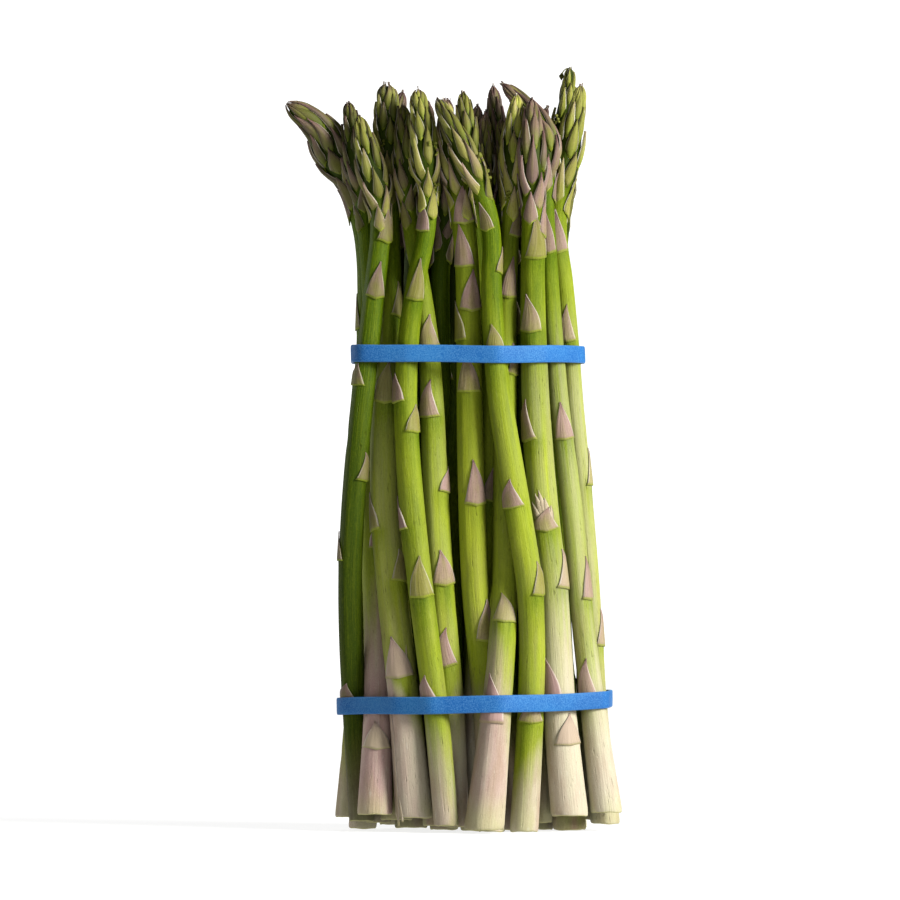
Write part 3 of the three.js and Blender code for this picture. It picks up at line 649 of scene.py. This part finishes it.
def add_blade(
    piece, spear, shape, base, angle, length, half_width, spur, rise, lean, marks, bow=0.0, over=UNDER_TIP
):
    """One thin blade that clasps the spear: shape has its columns, its rows and how its half width runs.

    spur is how far the middle of its base reaches down. rise gives how far it stands off the spear's surface
    at its base, middle and tip, and how much less at its side edges. lean and bow, in degrees, are how far its
    tip and its middle lie to the right of its base. It ends at the height over above the bud's tip; above 0,
    it stands loose and doesn't close over the bud.
    """
    columns, rows, width = shape
    corners, across, along = piece.sheet(columns, rows)
    across = across * 2 - 1
    tip = spear["tip"][2]
    droop = spur * (1 - np.abs(across)) ** 1.35 * (1 - along) ** 3
    height = np.minimum(base + length * along - droop, tip + over)
    surface = np.minimum(height, tip + UNDER_TIP)
    middle_turn = angle + lean * along + bow * 4 * along * (1 - along)
    radius = skin_radius(spear, surface, middle_turn)
    low, middle, high, edge = rise
    standing = np.interp(along, [0, 0.3, 0.6, 1], [low, (low + 2 * middle) / 3, middle, high])
    reach = np.maximum(radius + standing, LEAST_REACH[0])
    turn = half_width * width(along) * across / np.maximum(reach, 1.0)
    degrees = middle_turn + np.degrees(np.clip(turn, -WIDEST_TURN, WIDEST_TURN))
    side = skin_radius(spear, surface, degrees) - radius
    reach = np.maximum(reach + side * 0.8 - edge * across ** 2, LEAST_REACH[1])
    reach = reach * np.maximum(closing(spear, height), 0.5 if over > 0 else 0)
    piece.place(corners, beside(spear, height, degrees, reach), across=across, along=along, **marks)


def add_leaves(piece, spear, dice, size):
    between = dice.uniform
    shape = (*size, leaf_width)
    for base, angle, length in spear["scales"]:
        half_width = math.radians(LEAF_HALF_ANGLE + between(-4, 6)) * float(radius_at(spear, base))
        pale = float(pale_share(spear, base - LEAF_PALES_BELOW, angle))
        marks = dict(
            tone=0.2 + 0.4 * float(green_share(spear, base)), kin=dice.random(), pale=pale,
            flush=between(0.15, 1.0) + 0.3 * pale * spear["pale"][2],
        )
        rise = (0.46, 0.44, between(0.25, 0.5), between(-0.12, 0.05))
        spur = between(0.3, 1.2)
        lean = dice.choice((-1, 1)) * between(5, 20)
        bow = -0.55 * lean + between(-4, 4)
        add_blade(piece, spear, shape, base, angle, length, half_width, spur, rise, lean, marks, bow)


def add_bracts(piece, spear, dice, size):
    """The bracts of a bud, one turn step after another from the lowest up, and then its loose tips."""
    between = dice.uniform
    count, full_length, half_width, lift, dark, mauve = spear["head"]
    bud, neck, tip = spear["bud"][0], neck_height(spear), spear["tip"][2]
    start = spear["kin"] * 360
    first = spear.get("first", FIRST_BRACT)
    for n in range(count):
        t = n / (count - 1)
        low = t + between(-0.05, 0.05) < SHIELDS
        shape = (*size, shield_width if low else bract_width)
        share = first + (LAST_BRACT - first) * (1 - (1 - t) ** CROWDING)
        base = neck + share * bud + between(-0.6, 0.6)
        length = full_length * (0.86 + 0.42 * t - 0.8 * t * t) * between(0.85, 1.12)
        length = min(length, tip - base - 0.1)
        angle = start + n * TURN_STEP + between(-8, 8)
        wide = half_width * (1.16 - 0.52 * t) * between(0.88, 1.12)
        tucked = float(smooth(-0.12, 0.2, share))
        high = float(smooth(0.5, 0.9, share))
        off_tip = 0.2 + 0.2 * tucked - 0.2 * high + lift * between(0.1, 1.0) * (1 - 0.5 * t)
        rise = (0.75 - 1.45 * tucked, 0.66 - 0.3 * high, off_tip, 0.3 + 0.45 * tucked)
        marks = dict(
            tone=(0.1 + dark * 0.75 if low else dark) + between(-0.22, 0.26), kin=dice.random(),
            flush=mauve + between(-0.25, 0.25), fresh=0.3 if low else 1.0,
        )
        spur = between(0.7, 1.3) * wide * 0.6
        add_blade(piece, spear, shape, base, angle, length, wide, spur, rise, between(-8, 8), marks)
    shape = (2, 7, bract_width)
    for n in range(spear["loose"]):
        length = between(4, 6.5)
        over = between(0.05, min(LOOSE_TIP_RISE, TOP_OF_BUNDLE - tip))
        base = tip + over - length
        rise = (-0.6, 0.0, between(-0.1, 0.5), 0.3)
        marks = dict(tone=dark + between(0, 0.3), kin=dice.random(), flush=mauve + 0.4, fresh=1.0)
        angle = start + n * 360 / spear["loose"] + between(-40, 40)
        wide, lean = between(0.9, 1.4), between(-40, 40)
        add_blade(piece, spear, shape, base, angle, length, wide, 0.2, rise, lean, marks, over=over)


def add_strips(piece, spear, dice):
    """Pale frayed strips: base, degrees from the front, length, half width, lean and flush of each."""
    shape = (2, 12, bract_width)
    for base, angle, length, half_width, lean, flush in spear.get("strips", ()):
        rise = (0.1, 0.3, dice.uniform(0.05, 0.4), 0.1)
        marks = dict(tone=0.05, kin=dice.random(), pale=1.0, flush=flush)
        add_blade(piece, spear, shape, base, angle, length, half_width, 0.1, rise, lean, marks)


def add_beads(piece, spear, dice):
    """Clusters of the tiny round buds of side branches."""
    between = dice.uniform
    marks = dict(tone=spear["head"][4] * 0.5 + 0.35, flush=0.1, along=0.3, kin=spear["kin"], fresh=1.0)
    for height, angle in spear.get("beads", ()):
        for _ in range(6):
            at = height + between(-1.6, 1.6)
            turn = angle + between(-16, 16)
            reach = skin_radius(spear, at, turn) + between(0.1, 0.6)
            made = bmesh.ops.create_icosphere(piece.bm, subdivisions=1, radius=between(0.4, 0.7) * MM)
            bmesh.ops.translate(piece.bm, verts=made["verts"], vec=Vector(beside(spear, at, turn, reach) * MM))
            piece.mark(made["verts"], **marks)


def add_hanging_bud(piece, path, radii, tone):
    """A tiny bud on a thread, in one plane across the view: its path, the radii along it and its tone."""
    steps = range(len(path))
    corners, around, share = piece.sheet(8, 6 * steps[-1])
    path = np.array(path, float)
    at = share * steps[-1]

    def follow(at):
        return np.stack([through(steps, path[:, n], at) for n in range(3)], axis=1)

    way = follow(at + 0.02) - follow(at - 0.02)
    way /= np.linalg.norm(way, axis=1, keepdims=True)
    deep = np.array([0.0, 1.0, 0.0])
    aside = np.cross(way, deep)
    theta = around * 2 * math.pi
    radius = np.interp(at, steps, radii)
    out = np.cos(theta)[:, None] * aside + np.sin(theta)[:, None] * deep
    points = follow(at) + radius[:, None] * out
    piece.place(corners, points, across=0.3, along=0.4, tone=tone, flush=0.1, kin=0.4, fresh=1.0)
    piece.close(corners)


def build_spear(spear, number, materials):
    """One spear: its blades, which are given their thickness, then its side buds and last its skin."""
    dice = random.Random(DICE_SEED + number)
    character(spear, dice)
    mesh = COARSE if "hidden" in spear else FINE
    piece = Piece()
    add_leaves(piece, spear, dice, mesh["leaf"])
    add_bracts(piece, spear, dice, mesh["bract"])
    add_strips(piece, spear, dice)
    bmesh.ops.solidify(piece.bm, geom=piece.bm.faces[:], thickness=LEAF_THICKNESS * MM)
    add_beads(piece, spear, dice)
    if "thread" in spear:
        add_hanging_bud(piece, *spear["thread"])
    for face in piece.bm.faces:
        face.material_index = 1
    add_skin(piece, spear, *mesh["skin"])
    return piece.finish(f"asparagus_{spear['name']}", materials)


# ---- the rubber bands ----

BAND_THICKNESS = 1.25
BAND_AIR = 0.16  # between a band and the scale leaves under it
BAND_FLATNESS = (0.45, 0.3)  # below 1, the band's section nears a rectangle, across and up
BAND_COLUMNS = 360
BAND_ROWS = 20
OUTLINE_DIRECTIONS = 24
OUTLINE_LEAST_TURN = 1e-3  # a corner that turns less than this is left out
OUTLINE_SMOOTHINGS = 4


def taut_outline(spears, height):
    """The corners of the shortest path round the stems at one height, anticlockwise from above."""
    corners = []
    for spear in spears:
        middle = beside(spear, height, 0, 0)
        reach = float(radius_at(spear, height)) + SCALE_RISE + BAND_AIR
        for k in range(OUTLINE_DIRECTIONS):
            turn = 2 * math.pi * k / OUTLINE_DIRECTIONS
            corners.append((middle[0] + reach * math.cos(turn), middle[1] + reach * math.sin(turn)))
    corners.sort()

    def half(ordered):
        chain = []
        for c in ordered:
            while len(chain) > 1:
                a, b = chain[-2:]
                if (b[0] - a[0]) * (c[1] - a[1]) - (b[1] - a[1]) * (c[0] - a[0]) > OUTLINE_LEAST_TURN:
                    break
                chain.pop()
            chain.append(c)
        return chain[:-1]

    return np.array(half(corners) + half(corners[::-1]))


def evenly(path, count):
    """Points at even steps along a closed path, rounded off where it turns."""
    closed = np.vstack([path, path[:1]])
    steps = np.concatenate([[0], np.cumsum(np.linalg.norm(np.diff(closed, axis=0), axis=1))])
    at = np.linspace(0, steps[-1], count, endpoint=False)
    points = np.stack([np.interp(at, steps, closed[:, n]) for n in range(2)], axis=1)
    for _ in range(OUTLINE_SMOOTHINGS):
        points = (np.roll(points, 1, axis=0) + 2 * points + np.roll(points, -1, axis=0)) / 4
    return points


def build_band(spears, name, height, slope, material):
    """A band stretched round the stems, which twists and drifts a little on its way."""
    piece = Piece()
    path = evenly(taut_outline(spears, height), BAND_COLUMNS)
    along = np.roll(path, -1, axis=0) - np.roll(path, 1, axis=0)
    along /= np.linalg.norm(along, axis=1, keepdims=True)
    outward = np.stack([along[:, 1], -along[:, 0]], axis=1)
    corners, around, share = piece.sheet(BAND_COLUMNS, BAND_ROWS)
    k = np.rint(around * BAND_COLUMNS).astype(int) % BAND_COLUMNS
    turn = share * 2 * math.pi
    section = zip((np.cos(turn), np.sin(turn)), BAND_FLATNESS)
    flat, tall = (np.sign(part) * np.abs(part) ** power for part, power in section)
    theta = 2 * math.pi * k / BAND_COLUMNS
    out = BAND_THICKNESS * (0.5 + 0.5 * flat)
    above = BAND_WIDTH / 2 * tall
    twist = waves(theta, (0.05, 3, 1), (0.03, 7, 0))
    drift = waves(theta, (0.25, 2, 0.6), (0.12, 5, 0))
    place = path[k] + outward[k] * (out + above * twist * 0.5)[:, None]
    z = height + slope * place[:, 0] + above + drift
    piece.place(corners, np.column_stack([place, z]), across=tall, along=k / BAND_COLUMNS)
    piece.close(corners)
    bmesh.ops.recalc_face_normals(piece.bm, faces=piece.bm.faces[:])
    return piece.finish(f"rubber_{name}", [material])


# ---- finishes ----

DEPTH_OF_COLOUR = 0.42  # all the bundle's colours are deepened by this, to suit the strong key light


def hue(red, green, blue):
    """A colour from its three display values, from 0 to 255."""
    linear = [((v / 255 + 0.055) / 1.055) ** 2.4 if v > 10 else v / 255 / 12.92 for v in (red, green, blue)]
    return (*linear, 1.0)


class Wire:
    """A value on its way through a material: an expression on wires adds the Math nodes it needs."""

    def __init__(self, finish, socket):
        self.finish, self.socket = finish, socket

    def math(self, operation, *values):
        return self.finish.add("Math", {"operation": operation}, dict(enumerate(values)))

    def __add__(self, other):
        return self.math("ADD", self, other)

    def __mul__(self, other):
        return self.math("MULTIPLY", self, other)

    def __sub__(self, other):
        return self.math("SUBTRACT", self, other)

    def __rsub__(self, other):
        return self.math("SUBTRACT", other, self)

    def __abs__(self):
        return self.math("ABSOLUTE", self)

    __radd__ = __add__
    __rmul__ = __mul__

    def sibling(self, output):
        """Another output of the node that this value comes from."""
        return Wire(self.finish, self.socket.node.outputs[output])

    def step(self, start, end):
        """A smooth step from 0 at start to 1 at end, which may lie below it."""
        values = {"Value": self, 1: start, 2: end, 3: 0.0, 4: 1.0}
        return self.finish.add("MapRange", {"interpolation_type": "SMOOTHSTEP"}, values)


class Finish:
    """A material made of nodes, with its Principled shader."""

    def __init__(self, name, **constants):
        self.material = bpy.data.materials.new(name)
        self.material.use_nodes = True
        tree = self.material.node_tree
        self.nodes, self.links = tree.nodes, tree.links
        self.shader = self.nodes["Principled BSDF"]
        for socket, value in constants.items():
            self.shader.inputs[socket.replace("_", " ")].default_value = value

    def add(self, kind, settings=None, values=None, output=0):
        node = self.nodes.new("ShaderNode" + kind)
        for setting, value in (settings or {}).items():
            setattr(node, setting, value)
        for socket, value in (values or {}).items():
            if isinstance(value, Wire):
                self.links.new(value.socket, node.inputs[socket])
            else:
                node.inputs[socket].default_value = value
        return Wire(self, node.outputs[output])

    def read(self, *marks):
        """The values that a piece keeps at its corners under these names."""
        return [self.add("Attribute", {"attribute_name": mark}, output="Fac") for mark in marks]

    def mix(self, factor, first, second, blend="MIX"):
        """Two colours mixed by a factor, which the node itself keeps between 0 and 1."""
        settings = {"data_type": "RGBA", "blend_type": blend}
        return self.add("Mix", settings, {0: factor, 6: first, 7: second}, output=2)

    def vector(self, x, y, z):
        return self.add("CombineXYZ", None, {0: x, 1: y, 2: z})

    def noise(self, vector, scale, detail, roughness=0.5):
        values = {"Vector": vector, "Scale": scale, "Detail": detail, "Roughness": roughness}
        return self.add("TexNoise", None, values)

    def object_place(self):
        return self.add("TexCoord", output="Object")

    def to_shader(self, socket, wire):
        self.links.new(wire.socket, self.shader.inputs[socket])

    def done(self, colour, roughness, relief, height, strength):
        """Gives the material, with relief of a height in metres and at a strength."""
        self.to_shader("Base Color", self.mix(1.0, colour, (DEPTH_OF_COLOUR,) * 3 + (1.0,), "MULTIPLY"))
        self.to_shader("Roughness", roughness)
        bump = {"Height": relief, "Distance": height, "Strength": strength}
        self.to_shader("Normal", self.add("Bump", None, bump))
        return self.material


def skin_finish():
    """The skin of a spear: green that pales to its foot, streaked and speckled, with a bare cut end, and
    painted shade on its darkest tones and in the bud's core.
    """
    f = Finish("asparagus_skin", Specular_IOR_Level=0.06)
    spread = f.add("SeparateXYZ", None, {0: f.add("UVMap", {"uv_map": "surface"})})
    around = spread * (2 * math.pi)
    height = spread.sibling(1)
    east, north = around.math("COSINE", around), around.math("SINE", around)
    kin, tone, flush, pale, cut, bud, fresh = f.read("kin", "tone", "flush", "pale", "cut", "along", "fresh")
    shift = kin * 40 + height

    def wrapped(across, up, detail=3.0, roughness=0.6, aside=(0, 0)):
        """Noise on the stem's surface, which meets itself where the surface map begins again."""
        place = f.vector(east * across + aside[0], north * across + aside[1], shift * up)
        return f.noise(place, 1.0, detail, roughness)

    broad, streaks, lines = wrapped(0.7, 4.5, roughness=0.5), wrapped(2.6, 2.2), wrapped(9, 5)
    grain, scars = wrapped(22, 70, 2.0, 0.7), wrapped(6, 26, 2.0, 0.5)
    cloud, patches = wrapped(0.9, 6, 2.0, 0.55, (7, 0)), wrapped(0.55, 2.6, aside=(0, 3))
    speckle, fibres = f.noise(f.object_place(), 2200.0, 2.0, 0.7), f.noise(f.object_place(), 1400.0, 2.0, 0.6)

    deep = tone + (streaks - 0.5) * 0.7 + (broad - 0.5) * 0.75 + (lines - 0.5) * 0.4 + fresh * 0.3
    green = f.mix(deep, hue(193, 207, 54), hue(82, 112, 0))
    green = f.mix(kin.step(0.55, 0.95) * 0.3, green, f.mix(deep, hue(164, 194, 70), hue(64, 104, 2)))
    bloom = cloud.step(0.4, 0.65) * (1 - fresh) * (0.06 + height.step(1.35, 0.35) * 0.5 + pale * 0.3)
    green = f.mix(bloom * (1.15 - tone), green, hue(174, 168, 90))

    pinkness = flush * 1.1 - 0.12 + (patches - 0.5) * 2.4 + (streaks - 0.5) * 0.5
    white = f.mix(pinkness, hue(236, 226, 196), hue(212, 176, 168))
    dull = f.mix(pinkness, hue(138, 126, 76), hue(122, 90, 78))
    # a deeper tone dulls the pale foot; on the darkest spears this is partly painted shade
    white = f.mix((tone - 0.1) * 0.5, white, dull)
    white = f.mix(height.step(0.16, 0.03) * broad.step(0.4, 0.6) * 0.6, white, hue(208, 208, 146))
    white = f.mix(patches.step(0.54, 0.68) * 0.35, white, hue(186, 168, 120))
    paleness = pale + (streaks - 0.5) * pale * (1 - pale) * 4.0 - fresh * 0.35 * (1 - pale)
    skin = f.mix(paleness, green, white)

    flaws = [  # how much there is of each, and its colour on green and on pale skin
        (lines.step(0.44, 0.69) * (0.16 - pale * 0.08), (199, 214, 60), (238, 230, 204)),
        (grain.step(0.5, 0.7) * (0.14 - pale * 0.06), (202, 216, 62), (240, 234, 208)),
        (grain.step(0.5, 0.3) * (0.16 - pale * 0.09), (50, 70, 0), (140, 118, 96)),
        (scars.step(0.66, 0.73) * (0.4 - pale * 0.25), (96, 92, 40), (96, 92, 40)),
        (scars.step(0.35, 0.3) * (0.12 + pale * 0.15), (206, 206, 120), (246, 242, 222)),
        (speckle.step(0.5, 0.66) * 0.08, (206, 222, 72), (246, 240, 220)),
        (speckle.step(0.5, 0.34) * 0.08, (48, 62, 0), (120, 98, 80)),
    ]
    for amount, on_green, on_pale in flaws:
        skin = f.mix(amount, skin, f.mix(pale, hue(*on_green), hue(*on_pale)))
    # above a tone of 1 the skin is painted near-black green: painted shade on spears deep in the bundle or
    # behind others, such as a
    skin = f.mix(tone.step(1.0, 1.5) * 0.75, skin, hue(30, 40, 2))
    # deep tones lose most of their blue: painted shade, the look a stem's green takes in shade
    skin = f.mix(tone.step(0.45, 1.0) * (1 - pale) * 0.85, skin, (1.0, 1.0, 0.1, 1.0), "MULTIPLY")
    # the bud's core is painted near-black green: painted shade between the bracts
    skin = f.mix(bud * 0.85, skin, hue(46, 62, 2))

    flesh = f.mix(fibres.step(0.4, 0.62), hue(214, 206, 160), hue(150, 146, 92))
    skin = f.mix(cut.step(0.02, 0.25), skin, hue(218, 212, 150))
    skin = f.mix(cut.step(0.4, 0.95), skin, flesh)
    roughness = 0.42 + streaks * 0.2 + cut * 0.3 + pale * 0.06
    relief = lines * 0.7 + streaks * 0.6 + grain * 0.25 + speckle * 0.15 + scars.step(0.62, 0.8) * -0.9
    return f.done(skin, roughness, relief, 0.0004, 0.65)


def leaf_finish():
    """Scale leaves and bracts: olive that blushes mauve to the tip and the sides, with a pale margin, painted
    shade towards the sides of bud bracts, and painted light below a tone of 0.
    """
    f = Finish("asparagus_scale_leaf", Specular_IOR_Level=0.12)
    marks = ("across", "along", "tone", "flush", "kin", "pale", "fresh")
    across, along, tone, flush, kin, pale, on_bud = f.read(*marks)
    side = abs(across)
    veins = f.noise(f.vector(across * 5.5, along * 0.9, kin * 60), 1.0, 3.0, 0.6)
    cloud = f.noise(f.vector(across * 1.0, along * 1.8, kin * 90), 1.0, 2.0)
    speckle = f.noise(f.object_place(), 1900.0, 2.0, 0.65)

    olive = f.mix(tone, f.mix(on_bud, hue(190, 186, 84), hue(184, 190, 78)), hue(76, 82, 20))
    mauve = f.mix(tone, f.mix(on_bud, hue(214, 176, 166), hue(188, 154, 146)), hue(92, 72, 68))
    blush = along * (0.35 + on_bud * 0.35) + side * 0.25 + flush - 0.42 - on_bud * 0.26 + (cloud - 0.5) * 0.9
    body = f.mix(blush.step(0.0, 0.8), olive, mauve)
    body = f.mix(veins.step(0.4, 0.7) * 0.3, body, f.mix(tone, hue(216, 206, 160), hue(132, 124, 78)))
    body = f.mix(veins.step(0.5, 0.25) * 0.3, body, f.mix(tone, hue(132, 116, 70), hue(44, 38, 18)))
    body = f.mix(speckle.step(0.5, 0.64) * 0.22, body, hue(96, 78, 56))
    body = f.mix(pale * 0.85, body, f.mix(flush.step(0.3, 1.1), hue(218, 198, 172), hue(200, 164, 158)))

    centre = side.step(0.6, 0.05) * along.step(0.0, 0.4) * (1 - pale) * (veins * 1.4 - 0.2) * 0.5
    point = along.step(0.6, 1.0) * flush.step(0.1, 0.9) * 0.6
    glow = along.step(0.5, 0.0) * on_bud.step(0.3, 1.0) * 0.8
    # darker olive towards the sides of each bud bract: painted shade in the crevices between overlapping bracts
    painted_side_shade = side.step(0.3, 0.85) * on_bud * (0.2 + veins * 0.7)
    margin = side.step(0.86, 0.93) * along.step(0.02, 0.12) * (0.5 + on_bud * 0.35 + (cloud - 0.5) * 1.2)
    rim = (along + (veins - 0.5) * 0.05).step(0.07, 0.03) * (1 - pale * 0.7) * (0.85 + (veins - 0.5) * 0.9)
    layers = [  # how much there is of each, and its colour on a light and on a dark leaf
        (centre, (162, 146, 62), (80, 72, 20)),
        (point, (148, 100, 108), (148, 100, 108)),
        (glow, (140, 156, 34), (62, 84, 0)),
        (painted_side_shade, (104, 98, 40), (36, 36, 10)),
        (margin, (250, 244, 228), (190, 176, 146)),
        (rim, (194, 208, 66), (118, 138, 16)),
    ]
    for amount, light, dark in layers:
        body = f.mix(amount, body, f.mix(tone, hue(*light), hue(*dark)))
    # a tone below 0 makes the colour up to twice as light: painted light, meant for bracts of heads in shade,
    # such as f and m
    body = f.mix(0.0 - tone, body, (2.0, 2.0, 2.0, 1.0), "MULTIPLY")
    return f.done(body, 0.46 + veins * 0.2, veins * 0.9 + speckle * 0.25, 0.00035, 0.75)


def rubber_finish():
    f = Finish("blue_rubber", Specular_IOR_Level=0.1)
    place = f.object_place()
    [across] = f.read("across")
    grain = f.noise(place, 2600.0, 3.0, 0.75)
    cloud = f.noise(place, 60.0, 2.0)
    blue = f.mix((cloud - 0.35) * 1.8, hue(22, 106, 188), hue(58, 146, 220))
    blue = f.mix(grain.step(0.4, 0.66) * 0.35, blue, hue(122, 190, 240))
    blue = f.mix(grain.step(0.5, 0.3) * 0.35, blue, hue(20, 84, 172))
    blue = f.mix(abs(across).step(0.8, 1.0) * 0.3, blue, hue(110, 170, 232))
    return f.done(blue, 0.42 + grain * 0.2, grain + cloud * 0.4, 0.00014, 0.7)


def studio_finish(name, glow):
    """A pale matt surface that glows white round the bundle, and grey before it and far to its sides."""
    f = Finish(name, Roughness=0.9, Specular_IOR_Level=0.1, Emission_Strength=glow)
    place = f.object_place()
    f.to_shader("Base Color", f.mix(f.noise(place, 3.0, 2.0), hue(134, 134, 133), hue(142, 142, 141)))
    apart = f.add("SeparateXYZ", None, {0: place})
    behind = abs(apart).step(0.85, 0.45) * apart.sibling(1).step(-1.0, -0.4)
    f.to_shader("Emission Color", f.mix(behind, hue(78, 78, 78), hue(255, 255, 255)))
    return f.material


# ---- the studio ----

FLOOR_SIDE = 9000
FLOOR_GLOW = 0.8
WALL_RADIUS = 2600
WALL_HEIGHT = 800
WALL_COLUMNS = 96
WALL_GLOW = 1.0
SKY_LIGHT = 0.012
LIGHTS = [  # name, place, what it shines at, diameter, watts and colour
    ("key", (1.2, -0.8, 0.7), (0, 0, 0.12), 0.7, 74, (1.0, 0.99, 0.97)),
    ("fill", (-0.3, -1.8, 0.5), (0, 0, 0.12), 1.0, 6, (0.98, 0.99, 1.0)),
    ("rim", (-1.3, 0.55, 0.45), (0, 0, 0.14), 0.5, 9, (1.0, 1.0, 0.98)),
    ("back", (-0.2, 1.5, 1.2), (0, 0.7, 0), 0.9, 12, (1.0, 1.0, 1.0)),
]
SENSOR_WIDTH = 36
LENS_DISTANCE = 2.4  # at this distance, the view is as wide as FIELD_WIDTH
FIELD_WIDTH = 0.2907
EYE = Vector((-0.0081, -2.42, 0.0892))  # the camera stands a little below what it looks at
AIM = Vector((-0.0081, -0.02, 0.1234))


def stand(name, data, place, aim):
    """A light or a camera at its place, turned to what it is aimed at."""
    stood = bpy.data.objects.new(name, data)
    stood.location = place
    stood.rotation_euler = (Vector(aim) - Vector(place)).to_track_quat("-Z", "Y").to_euler()
    bpy.context.scene.collection.objects.link(stood)
    return stood


def build_studio():
    floor = Piece()
    corners, across, along = floor.sheet(2, 2)
    floor.place(corners, np.column_stack([across - 0.5, along - 0.5, 0 * along]) * FLOOR_SIDE)
    floor.finish("floor", [studio_finish("studio_floor", FLOOR_GLOW)])
    wall = Piece()
    corners, around, up = wall.sheet(WALL_COLUMNS, 1)
    turn = around * 2 * math.pi
    ring = [np.cos(turn) * -WALL_RADIUS, np.sin(turn) * WALL_RADIUS, up * WALL_HEIGHT]
    wall.place(corners, np.column_stack(ring))
    wall.close(corners)
    wall.finish("wall", [studio_finish("studio_wall", WALL_GLOW)])
    for name, place, aim, size, watts, colour in LIGHTS:
        light = bpy.data.lights.new(name, "AREA")
        light.shape = "DISK"
        light.size = size
        light.energy = watts
        light.color = colour
        stand(name, light, place, aim)
    world = bpy.data.worlds.new("studio")
    world.use_nodes = True
    sky = world.node_tree.nodes["Background"].inputs
    sky["Color"].default_value = (1, 1, 1, 1)
    sky["Strength"].default_value = SKY_LIGHT
    camera = bpy.data.cameras.new("camera")
    camera.sensor_width = SENSOR_WIDTH
    camera.lens = SENSOR_WIDTH * LENS_DISTANCE / FIELD_WIDTH
    camera.clip_start = 0.05
    scene = bpy.context.scene
    scene.world = world
    scene.view_settings.view_transform = "Standard"
    scene.camera = stand("camera", camera, EYE, AIM)


# ---- the bundle ----

build_studio()
spears = FRONT_SPEARS + hidden_spears()
for spear, axis in zip(spears, settle(spears)):
    keep_frames(spear, axis)
spear_materials = [skin_finish(), leaf_finish()]
for number, spear in enumerate(spears):
    stalk = build_spear(spear, number, spear_materials)
    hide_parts(f"spear_{spear['name']}")
    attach(stalk, "root")
rubber = rubber_finish()
for name, height, slope in BANDS:
    loop = build_band(spears, name, height, slope, rubber)
    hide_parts(name)
    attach(loop, "root")
